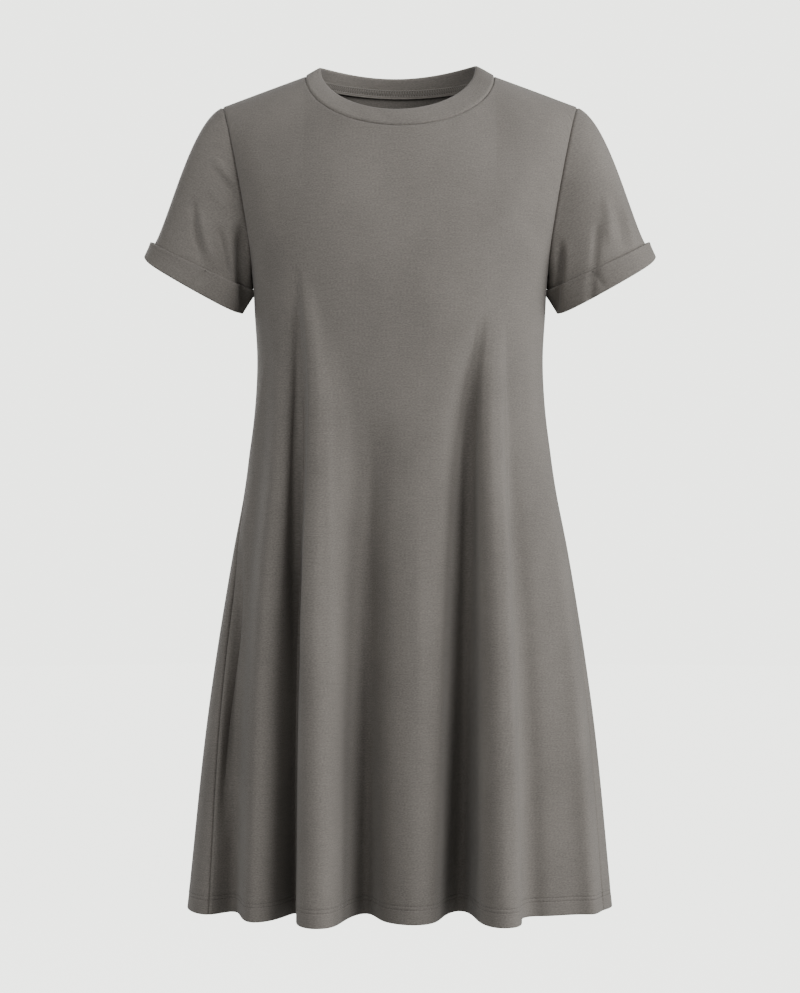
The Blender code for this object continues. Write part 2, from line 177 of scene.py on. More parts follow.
# The hem's folds, from the wearer's right to the left in front, and back round to the right behind
FRONT_FOLDS = (
    fold("right side seam", -0.1965, -0.0470, -0.400, -0.1510),
    fold("side hollow", -0.1730, -0.0300, -0.330, -0.1440),
    fold("side fold's rise", -0.1590, -0.0780, -0.270, -0.1375),
    fold("side fold", -0.1470, -0.0930, -0.240, -0.1300),
    fold("side fold's fall", -0.1260, -0.0760, -0.215, -0.1160),
    fold("deep hollow", -0.1075, -0.0400, -0.200, -0.1045),
    fold("lip's back", -0.1050, -0.0700, -0.198, -0.1005),
    fold("right fold's lip", -0.1028, -0.1080, -0.197, -0.0975),
    fold("right fold's near shoulder", -0.0955, -0.1230, -0.200, -0.0960),
    fold("right fold", -0.0860, -0.1290, -0.210, -0.0895),
    fold("right fold's far side", -0.0720, -0.1250, -0.240, -0.0800),
    fold("right fold's shoulder", -0.0600, -0.1000, -0.280, -0.0600),
    fold("right fold's foot", -0.0485, -0.0600, -0.310, -0.0441),
    fold("right hollow", -0.0350, -0.0420, -0.320, -0.0290),
    fold("middle fold's foot", -0.0240, -0.0660, -0.320, -0.0180),
    fold("middle fold's right shoulder", -0.0115, -0.0950, -0.310, -0.0060),
    fold("middle fold", 0.0130, -0.1090, -0.300, 0.0170),
    fold("middle fold's left shoulder", 0.0340, -0.0960, -0.285, 0.0500),
    fold("middle fold's far foot", 0.0475, -0.0500, -0.265, 0.0670),
    fold("left hollow", 0.0620, -0.0270, -0.250, 0.0764),
    fold("left fold's foot", 0.0728, -0.0500, -0.245, 0.0825),
    fold("left fold's shoulder", 0.0830, -0.1030, -0.240, 0.0885),
    fold("left fold", 0.1010, -0.1250, -0.240, 0.0965),
    fold("left fold's lip", 0.1195, -0.1140, -0.245, 0.1035),
    fold("lip's hollow", 0.1258, -0.0680, -0.260, 0.1085),
    fold("flat beside the lip", 0.1390, -0.0570, -0.280, 0.1160),
    fold("side ridge", 0.1510, -0.0560, -0.300, 0.1235),
    fold("side ridge's far hollow", 0.1850, -0.0465, -0.340, 0.1370),
    fold("flat side", 0.2000, -0.0450, -0.370, 0.1440),
    fold("left side seam", 0.2110, -0.0220, -0.390, 0.1510),
)
BACK_FOLDS = (
    fold("left side", 0.2222, 0.0040, -0.400),
    fold("left side fold", 0.2020, 0.0480, -0.360),
    fold("left back hollow", 0.1640, 0.0500, -0.330),
    fold("left back fold", 0.1320, 0.1050, -0.300),
    fold("left inner hollow", 0.0980, 0.0580, -0.280),
    fold("left middle fold", 0.0520, 0.1190, -0.270),
    fold("middle hollow", 0.0120, 0.0640, -0.330),
    fold("right middle fold", -0.0360, 0.1160, -0.290),
    fold("right inner hollow", -0.0740, 0.0580, -0.270),
    fold("right back fold", -0.1190, 0.1110, -0.310),
    fold("right back hollow", -0.1560, 0.0560, -0.340),
    fold("right side fold", -0.1960, 0.0460, -0.370),
    fold("right side", -0.2222, -0.0010, -0.400),
)
FOLD_ONSET = 0.07
TOPS_Z = -0.343
TOPS_SMOOTHING = 221
FOLD_POWER = 0.80
FRONT, BACK = -1, 1
FINE = 1201

# Soft creases
FRONT_CREASES = (
    line("right armhole drag", (-0.158, -0.190), (-0.112, -0.145), 0.010, -0.0005),
    line("left armhole drag", (0.157, -0.188), (0.112, -0.138), 0.011, -0.0010),
    line("right underarm fold", (-0.150, -0.215), (-0.134, -0.320), 0.009, -0.0022),
    line("left underarm fold", (0.150, -0.212), (0.137, -0.330), 0.008, -0.0014),
    line("lip's crease", (-0.1048, -0.215), (-0.1035, -0.660), 0.0085, -0.0068, steep=0.42),
    line("lip's edge", (-0.0975, -0.720), (-0.0975, -0.225), 0.0150, 0.0045, steep=0.25),
    line("side hollow's crease", (-0.1640, -0.470), (-0.1820, -0.800), 0.0050, -0.0105),
    line("right fold's ridge", (-0.0735, -0.290), (-0.0665, -0.720), 0.0042, 0.0010),
    line("left fold's hollow", (0.0700, -0.265), (0.0745, -0.600), 0.0075, -0.0030),
    line("left fold's ridge", (0.1035, -0.255), (0.1100, -0.600), 0.0062, 0.0032, steep=0.40),
    line("ridge beside the lip", (0.1070, -0.500), (0.1190, -0.862), 0.0050, 0.0020, steep=0.50),
    line("side ridge", (0.1300, -0.260), (0.1370, -0.430), 0.0060, 0.0010),
    line("middle crest", (0.0170, -0.420), (0.0230, -0.780), 0.0050, 0.0007),
)
BACK_CREASES = (
    line("right armhole drag", (-0.158, -0.186), (-0.112, -0.150), 0.011, -0.0014),
    line("left armhole drag", (0.157, -0.190), (0.116, -0.146), 0.011, -0.0013),
    line("right blade", (-0.110, -0.165), (-0.086, -0.330), 0.014, -0.0016),
    line("left blade", (0.116, -0.175), (0.094, -0.350), 0.013, -0.0018),
    line("middle fold's ridge", (0.044, -0.300), (0.050, -0.700), 0.0050, 0.0010),
    line("right fold's ridge", (-0.030, -0.320), (-0.034, -0.720), 0.0055, 0.0009),
)
SLEEVE_CREASES = (
    line("right armpit", (-0.1650, -0.150), (-0.1605, -0.240), 0.0062, -0.0105, to_end=True),
    line("right ridge", (-0.2092, -0.138), (-0.1880, -0.208), 0.0072, 0.0050),
    line("right groove", (-0.2160, -0.124), (-0.2030, -0.204), 0.0038, -0.0034),
    line("right inner groove", (-0.1900, -0.150), (-0.1730, -0.226), 0.0052, -0.0048),
    line("right upper drag", (-0.1970, -0.084), (-0.1630, -0.124), 0.0046, 0.0020),
    line("right lower drag", (-0.1940, -0.099), (-0.1620, -0.137), 0.0040, -0.0016),
    line("right third drag", (-0.2020, -0.116), (-0.1700, -0.150), 0.0040, 0.0010),
    line("left armpit", (0.1658, -0.170), (0.1630, -0.240), 0.0040, -0.0062, to_end=True),
    line("left armpit's side", (0.1710, -0.165), (0.1700, -0.240), 0.0060, 0.0012, to_end=True),
    line("left ridge", (0.2120, -0.120), (0.2172, -0.186), 0.0052, 0.0022),
    line("left pinch", (0.2045, -0.150), (0.1987, -0.214), 0.0040, -0.0030, to_end=True),
    line("left outer ridge", (0.2300, -0.128), (0.2430, -0.190), 0.0040, 0.0020),
    line("left outer groove", (0.2225, -0.134), (0.2320, -0.190), 0.0040, -0.0010),
    line("left upper drag", (0.1700, -0.110), (0.2000, -0.082), 0.0080, -0.0007),
)
CUFF_CREASES = (
    line("left pull", (0.1985, -0.2050), (0.2110, -0.2260), 0.0026, -0.0014),
    line("left second pull", (0.1990, -0.2060), (0.1940, -0.2290), 0.0030, -0.0010),
    line("right pull", (-0.1990, -0.2050), (-0.2090, -0.2230), 0.0030, -0.0008),
)
CREASE_FADE = 0.35  # share of a crease's length over which it fades in, and out again
TACKS = (0.1985, -0.1990)  # where the cuffs are caught to the sleeves

# How finely the panels are cut
SHOULDER_COLUMNS = 38
NECK_COLUMNS = 150
SKIRT_ROWS = 132
YOKE_ROWS = 82
SLEEVE_ROWS = 60
BAND_ROWS = 16
CUFF_ROWS = 9
CUFF_SIDE_STEPS = 14
CUFF_TURN_STEPS = 9
ALLOWANCE_STEPS = 7
# Rows and columns beside an edge, where the cloth turns: distances for the hem, the rest as shares
HEM_EDGE_ROWS = (0, 0.0005, 0.0011, 0.0020, 0.0033, 0.0050, 0.0070, 0.0090, 0.0110, 0.0128)
GROOVE_ROWS = (-0.0010, -0.0005, 0, 0.0005, 0.0010)
HEM_TOP_ROW = 0.0212
SIDE_EDGE_COLUMNS = (0, 0.0010, 0.0021, 0.0034, 0.0051, 0.0075)
FIRST_WIDE_COLUMN = 0.0110
CAP_EDGE_ROWS = (0, 0.006, 0.012, 0.020, 0.030)
FIRST_WIDE_ROW = 0.042
UNDERARM_ANGLES = (0.09, 0.08)  # the first and last turns round the armhole's yoke


def smooth_curve(start, end, leaving, arriving, t):
    """The smooth curve from start to end, with these slopes at its two ends."""
    bent = leaving * t * (1 - t) ** 2 - arriving * t**2 * (1 - t)
    return start * (1 + 2 * t) * (1 - t) ** 2 + end * t**2 * (3 - 2 * t) + bent


def along(column, z):
    """A column of SECTIONS at the height z, on a smooth curve through the rows."""
    rows = sorted(SECTIONS, key=lambda row: row["z"])
    heights = np.array([row["z"] for row in rows])
    values = np.array([row[column] for row in rows])
    slopes = np.gradient(values, heights)
    z = np.clip(z, heights[0], heights[-1])
    i = np.clip(np.searchsorted(heights, z) - 1, 0, len(heights) - 2)
    step = heights[i + 1] - heights[i]
    t = (z - heights[i]) / step
    return smooth_curve(values[i], values[i + 1], slopes[i] * step, slopes[i + 1] * step, t)


def shoulder_z(x):
    """Height of the shoulder line, and of the line that would continue it through the neck."""
    inside = np.clip(1 - (x / NECK_POINT_X) ** 2, 0, 1)
    fall = np.hypot(x, MIDDLE_ROUNDING) - math.hypot(NECK_POINT_X, MIDDLE_ROUNDING)
    return NECK_RISE * inside**2 - SHOULDER_SLOPE * fall


def shoulder_roll(x, z):
    """0 on the shoulder line, rising to 1 where the shoulder has become chest or back."""
    outwards = np.clip((np.abs(x) - NECK_POINT_X) / (SHOULDER_X - NECK_POINT_X), 0, 1)
    radius = SHOULDER_ROUND_AT_NECK + (SHOULDER_ROUND_AT_ARM - SHOULDER_ROUND_AT_NECK) * outwards
    below = np.clip((shoulder_z(x) - z) / radius, 0, 1)
    return np.sqrt(1 - (1 - below) ** 2)


def body_y(side, x, z):
    """Depth of the body's front or back at a point of the front view."""
    share = np.clip(np.abs(x) / along("half_width", z), 0, 1)
    depth = along("front" if side == FRONT else "back", z)
    if side == FRONT:
        off_x = (np.abs(x) - BUST["x"]) / BUST["across"]
        off_z = (z - BUST["z"]) / BUST["up"]
        depth = depth + BUST["depth"] * np.exp(-(off_x**2) - off_z**2)
    return side * depth * (1 - share**BOX_POWER) ** (1 / BOX_POWER) * shoulder_roll(x, z)


def sampled(points, places, wanted):
    """A curve's points at the wanted places, where places holds each point's own."""
    return np.stack([np.interp(wanted, places, column) for column in points.T], axis=1)


def by_length(points, shares):
    """The points at these shares of the length of a curve."""
    steps = np.linalg.norm(np.diff(points, axis=0), axis=1)
    length = np.concatenate([[0], np.cumsum(steps)])
    return sampled(points, length / length[-1], shares)


def plain_section(side, z, shares):
    """x and y of the body's section without folds, from the right side seam to the left."""
    angle = np.linspace(-math.pi / 2, math.pi / 2, FINE)
    x = along("half_width", z) * np.sign(np.sin(angle)) * np.abs(np.sin(angle)) ** (2 / BOX_POWER)
    return by_length(np.stack([x, body_y(side, x, z)], axis=1), shares)


def closed_spline(points):
    """FINE points on each span of the smooth closed curve through the points."""
    count = len(points)
    span = np.sqrt(np.linalg.norm(np.roll(points, -1, axis=0) - points, axis=1))
    before = np.roll(span, 1)
    matrix = np.zeros((count, count))
    right = np.zeros_like(points)
    for i in range(count):
        matrix[i, i - 1] = span[i]
        matrix[i, i] = 2 * (span[i] + before[i])
        matrix[i, (i + 1) % count] = before[i]
        here = (points[(i + 1) % count] - points[i]) / span[i]
        last = (points[i] - points[i - 1]) / before[i]
        right[i] = 3 * (span[i] * last + before[i] * here)
    slope = np.linalg.solve(matrix, right)
    t = np.linspace(0, 1, FINE)[:, None]
    spans = []
    for i in range(count):
        j = (i + 1) % count
        spans.append(smooth_curve(points[i], points[j], slope[i] * span[i], slope[j] * span[i], t))
    return spans


def hem_of(side, shares):
    """x and y of the hem with its folds, and the height where the fold at each share begins."""
    rows = FRONT_FOLDS + BACK_FOLDS
    spans = closed_spline(np.array([[row["x"], row["y"]] for row in rows]))
    last = len(FRONT_FOLDS) - 1
    if side == FRONT:
        chosen, named = spans[:last], FRONT_FOLDS
    else:
        chosen = [span[::-1] for span in reversed(spans[last:])]
        named = FRONT_FOLDS[:1] + BACK_FOLDS[::-1] + FRONT_FOLDS[-1:]
    curve = np.concatenate([span[:-1] for span in chosen] + [chosen[-1][-1:]])
    lengths = [np.linalg.norm(np.diff(span, axis=0), axis=1).sum() for span in chosen]
    places = np.concatenate([[0], np.cumsum(lengths)]) / sum(lengths)
    return by_length(curve, shares), np.interp(shares, places, [row["begins"] for row in named]), places


def top_shares(places, shares):
    """Where the front's columns stand on the body above the folds, so that each line starts at its top."""
    even = np.linspace(0, 1, 4 * FINE)
    section = plain_section(FRONT, TOPS_Z, even)
    wanted = np.interp([row["top"] for row in FRONT_FOLDS], section[:, 0], even)
    off = np.interp(even, places, wanted - places)
    window = np.hanning(TOPS_SMOOTHING)
    padded = np.concatenate([-off[TOPS_SMOOTHING:0:-1], off, -off[-2 : -2 - TOPS_SMOOTHING : -1]])
    smooth = np.convolve(padded, window / window.sum(), "same")[TOPS_SMOOTHING:-TOPS_SMOOTHING]
    return shares + np.interp(shares, even, smooth)


def fold_growth(begins, z):
    """0 where a fold begins and 1 at the hem. Folds deepen soon below where they begin."""
    share = np.clip((begins - z) / (begins - HEM_Z), 0, 1)
    return share**FOLD_POWER * (1 - np.exp(-share / FOLD_ONSET)) / (1 - math.exp(-1 / FOLD_ONSET))


def neckline(side, shares):
    """x, y and z of the seam under the neckband, from the right to the left."""
    angle = math.pi * shares
    x = -NECK_POINT_X * np.cos(angle)
    z = -(FRONT_NECK_DROP if side == FRONT else BACK_NECK_DROP) * np.sin(angle)
    return np.column_stack([x, body_y(side, x, z), z])


def top_edge(side, shares):
    """The top of a body panel: a shoulder seam, the neckline and the other shoulder seam."""
    share = SHOULDER_SHARE
    corners = [-SHOULDER_X, -NECK_POINT_X, NECK_POINT_X, SHOULDER_X]
    across = np.interp(shares, [0, share, 1 - share, 1], corners)
    seam = np.column_stack([across, 0 * across, shoulder_z(across)])
    neck = neckline(side, np.clip((shares - share) / (1 - 2 * share), 0, 1))
    outside = (shares < share) | (shares > 1 - share)
    return np.where(outside[:, None], seam, neck)


def armhole_angles():
    """Angles round the armhole at the yoke's rows: pi at the underarm, 0 at the shoulder."""
    first, last = UNDERARM_ANGLES
    return math.pi - np.concatenate([[0], np.linspace(first, math.pi - last, YOKE_ROWS - 1), [math.pi]])


def panel_shares():
    """Where the panels' columns stand: closer beside the side seams."""
    count = SHOULDER_COLUMNS - len(SIDE_EDGE_COLUMNS) + 1
    left = np.concatenate([SIDE_EDGE_COLUMNS, np.linspace(FIRST_WIDE_COLUMN, SHOULDER_SHARE, count)])
    middle = np.linspace(SHOULDER_SHARE, 1 - SHOULDER_SHARE, NECK_COLUMNS + 1)
    return np.concatenate([left, middle[1:-1], 1 - left[::-1]])


def skirt_heights():
    """Heights of the skirt's rows: closer over the hem."""
    hem = HEM_Z + np.array(HEM_EDGE_ROWS)
    grooves = [HEM_Z + stitch + away for stitch in HEM_STITCHES for away in GROOVE_ROWS]
    count = SKIRT_ROWS - len(hem) - len(grooves) + 1
    return np.concatenate([hem, grooves, np.linspace(HEM_Z + HEM_TOP_ROW, UNDERARM_Z, count)])


def body_grid(side):
    """The outer face of the front or back, from the hem to the shoulder seams and neckline."""
    shares = panel_shares()
    hem, begins, places = hem_of(side, shares)
    above = top_shares(places, shares) if side == FRONT else shares
    grown = hem - plain_section(side, HEM_Z, above)
    rows = []
    for z in skirt_heights():
        flat = plain_section(side, z, above) + fold_growth(begins, z)[:, None] * grown
        rows.append(np.column_stack([flat, np.full(len(flat), z)]))
    lower, upper = rows[-1], top_edge(side, shares)
    share = SHOULDER_SHARE
    fan = np.interp(shares, [0, share, 0.5, 1 - share, 1], [0, -1, 0, 1, 0]) * (upper[:, 2] - lower[:, 2])
    for angle in armhole_angles()[1:]:
        rise = (1 + math.cos(angle)) / 2
        mixed = lower * (1 - rise) + upper * rise
        x = mixed[:, 0] + fan * rise**2 * (1 - rise) + ARMHOLE_BOW * math.sin(angle) * (1 - 2 * shares)
        rows.append(np.column_stack([x, body_y(side, x, mixed[:, 2]), mixed[:, 2]]))
    rows[-1] = upper
    return np.array(rows)


def sleeve_axis():
    return np.array([math.sin(SLEEVE_TILT), 0, -math.cos(SLEEVE_TILT)])


def cuff_height(angles):
    return CUFF_OUTER + (CUFF_INNER - CUFF_OUTER) * (1 - np.cos(angles)) / 2


def sleeve_ring(angles, share):
    """A ring of the left sleeve's end: share is 0 at the opening and 1 at the cuff's top."""
    outwards = np.array([math.cos(SLEEVE_TILT), 0, math.sin(SLEEVE_TILT)])
    across = SLEEVE_END_LONG * np.cos(angles)[:, None] * outwards
    deep = -SLEEVE_END_SHORT * np.sin(angles)
    outer = np.exp((np.cos(angles) - 1) / CUFF_CORNER_REACH)
    inner = np.exp((-np.cos(angles) - 1) / CUFF_CORNER_REACH)
    corner = CUFF_CORNER * (outer + INNER_CORNER * inner) * (1 - share) ** 2
    along_sleeve = -share * cuff_height(angles) - OPENING_TILT * deep - corner
    forwards = deep[:, None] * np.array([0, 1, 0])
    return np.array(SLEEVE_END) + across + forwards + along_sleeve[:, None] * sleeve_axis()


def sleeve_grid(front, back):
    """The left sleeve's outer face: rings from the armhole to the cuff's fold."""
    rows = np.arange(-1, -2 - YOKE_ROWS, -1)
    armhole = np.concatenate([front[rows, -1], back[rows[::-1], -1][1:-1]])
    angles = np.concatenate([armhole_angles()[::-1], 2 * math.pi - armhole_angles()[1:-1]])
    cuff_top = sleeve_ring(angles, 1.0)
    reach = np.linalg.norm(cuff_top - armhole, axis=1)[:, None] * CAP_FULLNESS
    down = ((1 - np.cos(angles)) / 2)[:, None]
    shoulder = np.array([1, 0, -SHOULDER_SLOPE]) / math.hypot(1, SHOULDER_SLOPE)
    leaving = shoulder * (1 - down) * (1 + CAP_PUFF) + sleeve_axis() * down
    leaving = leaving + SLEEVE_BULGE * np.sin(angles)[:, None] * np.array([0, -1, 0])
    rings = []
    for t in np.concatenate([CAP_EDGE_ROWS, np.linspace(FIRST_WIDE_ROW, 1, SLEEVE_ROWS)]):
        rings.append(smooth_curve(armhole, cuff_top, leaving * reach, sleeve_axis() * reach, t))
    for share in np.linspace(1, CUFF_END, CUFF_ROWS)[1:]:
        rings.append(sleeve_ring(angles, share))
    return np.array(rings)


def band_grid(front, back):
    """The neckband's outer face: rings from the neckline's seam to the fold at its top."""
    columns = front.shape[1]
    middle = slice(SHOULDER_COLUMNS, columns - SHOULDER_COLUMNS)
    seam = np.concatenate([front[-1, middle], back[-1, middle][::-1][1:-1]])
    angle = np.linspace(0, 2 * math.pi, 2 * NECK_COLUMNS + 1)[:-1]
    away = np.abs(np.sin(angle))
    is_front = np.sin(angle) > 0
    x = BAND_SHIFT - BAND_TOP_X * np.cos(angle)
    y = np.where(is_front, BAND_FRONT["deep"], BAND_BACK["deep"]) * away
    behind = BAND_BACK["lift"] * away - BAND_BACK["fall"] * away**2
    z = BAND_RISE + np.where(is_front, -BAND_FRONT["fall"] * away, behind) - BAND_TILT * np.cos(angle)
    top = np.column_stack([x, y, z])
    return np.array([seam + (top - seam) * share for share in np.linspace(0, 1, BAND_ROWS + 1)])


def face_normals(grid, closed):
    """Unit normals at a grid's points, from the differences between neighbours."""
    up = np.gradient(grid, axis=0)
    if closed:
        across = np.roll(grid, -1, axis=1) - np.roll(grid, 1, axis=1)
    else:
        across = np.gradient(grid, axis=1)
    normal = np.cross(across, up)
    return normal / np.maximum(np.linalg.norm(normal, axis=2), 1e-12)[:, :, None]


def is_edge(piece):
    edge = np.zeros(piece["grid"].shape[:2], bool)
    edge[list(piece["seams"])] = True
    if not piece["closed"]:
        edge[:, [0, -1]] = True
    return edge


def key_of(point):
    return tuple(np.round(point / STEP).astype(int))


def seam_directions(pieces):
    """The way through the cloth at every point, which pieces share where they meet."""
    sums = {}
    for piece in pieces:
        edge = is_edge(piece)
        for point, normal in zip(piece["grid"][edge], piece["normals"][edge], strict=True):
            sums[key_of(point)] = sums.get(key_of(point), 0) + normal
    for piece in pieces:
        edge = is_edge(piece)
        found = np.array([sums[key_of(point)] for point in piece["grid"][edge]])
        piece["through"] = piece["normals"].copy()
        piece["through"][edge] = found / np.linalg.norm(found, axis=1)[:, None]


def length_from(grid, axis):
    """Length along the cloth from the grid's first row or column."""
    steps = np.linalg.norm(np.diff(grid, axis=axis), axis=2)
    start = np.zeros_like(np.take(steps, [0], axis=axis))
    return np.cumsum(np.concatenate([start, steps], axis=axis), axis=axis)


def seam_roll(distance):
    """How far the cloth has sunk at this distance from a seam, with a slight swelling beside it."""
    near = np.clip(1 - distance / SEAM_ROLL, 0, 1)
    swell = np.exp(-(((distance - 1.6 * SEAM_ROLL) / SEAM_ROLL) ** 2))
    return SEAM_SINK * near**2 - SEAM_SWELL * swell


def roll_into_seams(piece):
    """Lets the cloth sink towards each seam, in the direction that both pieces share there."""
    grid, through = piece["grid"], piece["through"]
    moved = grid.copy()
    from_start = length_from(grid, 0)
    from_end = from_start[-1] - from_start
    for row, distance in ((0, from_start), (-1, from_end)):
        if row in piece["seams"]:
            moved = moved - through[[row]] * seam_roll(distance)[:, :, None]
    if not piece["closed"]:
        across = length_from(grid, 1)
        for column, distance in ((0, across), (-1, across[:, [-1]] - across)):
            moved = moved - through[:, [column]] * seam_roll(distance)[:, :, None]
    piece["grid"] = moved


def crease_field(table, x, z):
    """Height of the soft creases at points of the front or back view."""
    height = np.zeros_like(x)
    for crease in table:
        (x0, z0), (x1, z1) = crease["start"], crease["end"]
        long = math.hypot(x1 - x0, z1 - z0)
        t = ((x - x0) * (x1 - x0) + (z - z0) * (z1 - z0)) / long**2
        off = ((x - x0) * (z1 - z0) - (z - z0) * (x1 - x0)) / long
        start, end = np.clip(t / CREASE_FADE, 0, 1), np.clip((1 - t) / CREASE_FADE, 0, 1)
        taper = start**2 * (3 - 2 * start)
        if not crease["to_end"]:
            taper = taper * end**2 * (3 - 2 * end)
        width = crease["width"] * np.where(off < 0, crease["steep"], 1)
        height += crease["height"] * taper * np.exp(-((off / width) ** 2))
    return height


def crease(piece, front_table, back_table):
    """Moves a piece's points out along its normals by its creases, front and back."""
    grid, normals = piece["grid"], piece["normals"]
    facing = np.clip(-normals[:, :, 1] * 2, 0, 1)
    behind = np.clip(normals[:, :, 1] * 2, 0, 1)
    out = facing * crease_field(front_table, grid[:, :, 0], grid[:, :, 2])
    out = out + behind * crease_field(back_table, grid[:, :, 0], grid[:, :, 2])
    piece["grid"] = grid + normals * out[:, :, None]


def drawn_in(piece, gap):
    """A piece's grid with its edges moved into the piece by gap, along the cloth."""
    grid = piece["grid"]
    moved = grid.copy()
    for edge, inside in ((0, 1), (-1, -2)):
        if edge in piece["seams"]:
            way = grid[inside] - grid[edge]
            moved[edge] += gap * way / np.linalg.norm(way, axis=1)[:, None]
    return moved


def grid_faces(shape, uv, last_row, last_column):
    """The faces of a grid up to its last row and column, and each corner's place on the cloth."""
    rows, columns = shape
    i, j = np.meshgrid(np.arange(last_row), np.arange(last_column), indexing="ij")
    near, far, beside = i * columns, (i + 1) % rows * columns, (j + 1) % columns
    faces = np.stack([near + j, near + beside, far + beside, far + j], axis=-1).reshape(-1, 4)
    if uv is None:
        return faces, None
    corners = [uv[i, j], uv[i, j + 1], uv[i + 1, j + 1], uv[i + 1, j]]
    return faces, np.stack(corners, axis=2).reshape(-1, 4, 2)


def shell(name, outer, inner, uv, closed):
    """A closed mesh between two grids."""
    rows, columns = outer.shape[:2]
    count = rows * columns
    last = columns if closed else columns - 1
    outside, corners = grid_faces((rows, columns), uv, rows - 1, last)
    faces, places = [outside, outside[:, ::-1] + count], [corners, corners[:, ::-1]]
    i, j = np.arange(rows - 1), np.arange(last)
    rims = [((0, j + 1), (0, j)), ((rows - 1, j), (rows - 1, j + 1))]
    if not closed:
        rims += [((i, 0), (i + 1, 0)), ((i + 1, last), (i, last))]
    for first, second in rims:
        a, b = (row * columns + column % columns for row, column in (first, second))
        faces.append(np.stack([a, b, b + count, a + count], axis=-1))
        places.append(np.stack([uv[first], uv[second], uv[second], uv[first]], axis=1))
    points = np.concatenate([outer.reshape(-1, 3), inner.reshape(-1, 3)])
    return mesh_object(name, points, np.concatenate(faces), np.concatenate(places))


def mesh_object(name, points, quads, uv=None):
    mesh = bpy.data.meshes.new(name)
    mesh.from_pydata(points.tolist(), [], quads.tolist())
    if uv is not None:
        layer = mesh.uv_layers.new(name="cloth")
        layer.data.foreach_set("uv", np.ascontiguousarray(uv, dtype=np.float32).ravel())
    mesh.shade_smooth()
    mesh.set_sharp_from_angle(angle=SHARP)
    mesh.update()
    piece = bpy.data.objects.new(name, mesh)
    bpy.context.scene.collection.objects.link(piece)
    return piece


def cloth_uv(grid, closed):
    """Metres across and along the cloth at every point, with one more column where the grid is closed."""
    if closed:
        grid = np.concatenate([grid, grid[:, :1]], axis=1)
    across = length_from(grid, 1)
    return np.stack([across - across[:, -1:] / 2, length_from(grid, 0)], axis=2)


def rounded(distance, radius):
    """Share of the full thickness at this distance from a rounded edge."""
    away = np.clip(distance / radius, 0.02, 1)
    return np.sqrt(1 - (1 - away) ** 2)


def new_piece(name, grid, closed, seams):
    normals = face_normals(grid, closed)
    return {"name": name, "grid": grid, "closed": closed, "seams": seams, "normals": normals}


def mirrored(grid):
    """The same piece for the other side of the body, with its faces still pointing out."""
    flipped = grid * np.array([-1, 1, 1])
    return np.concatenate([flipped[:, :1], flipped[:, :0:-1]], axis=1)


def panel(piece):
    """The front or back: one layer, with its hem turned up inside."""
    uv = cloth_uv(piece["grid"], False)
    roll_into_seams(piece)
    crease(piece, FRONT_CREASES, BACK_CREASES)
    outer = drawn_in(piece, SEAM_GAP / 2)
    above_hem = outer[:, :, 2] - HEM_Z
    around = length_from(outer, 1)
    wander = 2 * np.sin(around * 2 * math.pi / PUCKER["wander"])
    pucker = PUCKER["height"] * np.sin(around * 2 * math.pi / PUCKER["length"] + wander)
    pulled = pucker * np.exp(-(((above_hem - HEM_DEPTH) / PUCKER["reach"]) ** 2))
    for stitch in HEM_STITCHES:
        groove = np.exp(-(((above_hem - stitch) / STITCH_GROOVE["half_width"]) ** 2))
        pulled = pulled - STITCH_GROOVE["depth"] * groove
    outer = outer + piece["through"] * pulled[:, :, None]
    turned_up = np.clip((HEM_DEPTH + HEM_LAYER_PAST - above_hem) / HEM_LAYER_FADE + 0.5, 0, 1)
    thick = JERSEY + HEM_EXTRA * turned_up
    through = piece["through"] * thick[:, :, None]
    sunk = (1 - rounded(above_hem, HEM_EDGE)) / 2
    outer, inner = outer - through * sunk[:, :, None], outer - through * (1 - sunk)[:, :, None]
    piece["outer"] = outer
    return shell(piece["name"], outer, inner, uv, False)


def sleeve(piece):
    around = np.concatenate([piece["grid"], piece["grid"][:, :1]], axis=1)
    axis = sleeve_axis() * np.array([np.sign(around[:, :, 0].mean()), 1, 1])
    uv = cloth_uv(piece["grid"], True)
    uv[:, :, 1] = around @ axis
    roll_into_seams(piece)
    crease(piece, SLEEVE_CREASES, ())
    outer = drawn_in(piece, SEAM_GAP / 2)
    return shell(piece["name"], outer, outer - piece["through"] * JERSEY, uv, True)


def cuff(piece):
    """The sleeve's end turned up outside it: a flattened ring of cloth with a fold at its lower edge."""
    rings = piece["grid"][-CUFF_ROWS:]
    out_of = piece["normals"][-CUFF_ROWS:]
    height = np.linalg.norm(rings[0] - rings[-1], axis=1) / (1 - CUFF_END)
    down = (rings[-1] - rings[0]) / (height * (1 - CUFF_END))[:, None]
    columns = np.arange(rings.shape[1])
    wave = np.sin(columns * 2 * math.pi / len(columns) * CUFF_WAVES) * CUFF_WAVE
    points = []
    for share, below, out in cuff_profile():
        row = np.clip((1 - share) / (1 - CUFF_END), 0, 1) * (CUFF_ROWS - 1)
        i = int(min(row, CUFF_ROWS - 2))
        t = row - i
        base = rings[i] * (1 - t) + rings[i + 1] * t
        normal = out_of[i] * (1 - t) + out_of[i + 1] * t
        base = base + down * (below + np.clip(CUFF_END - share, 0, 1) * height)[:, None]
        proud = CUFF_TOP_PROUD * max(share, 0) ** 3 + wave * share
        outside = np.clip((out - CUFF_OFF_SLEEVE) / CUFF_THICK, 0, 1)
        facing = np.clip(-normal[:, 1] * 2, 0, 1) * outside
        pull = facing * crease_field(CUFF_CREASES, base[:, 0], base[:, 2])
        points.append(base + normal * (out + proud + pull)[:, None])
    return np.array(points)


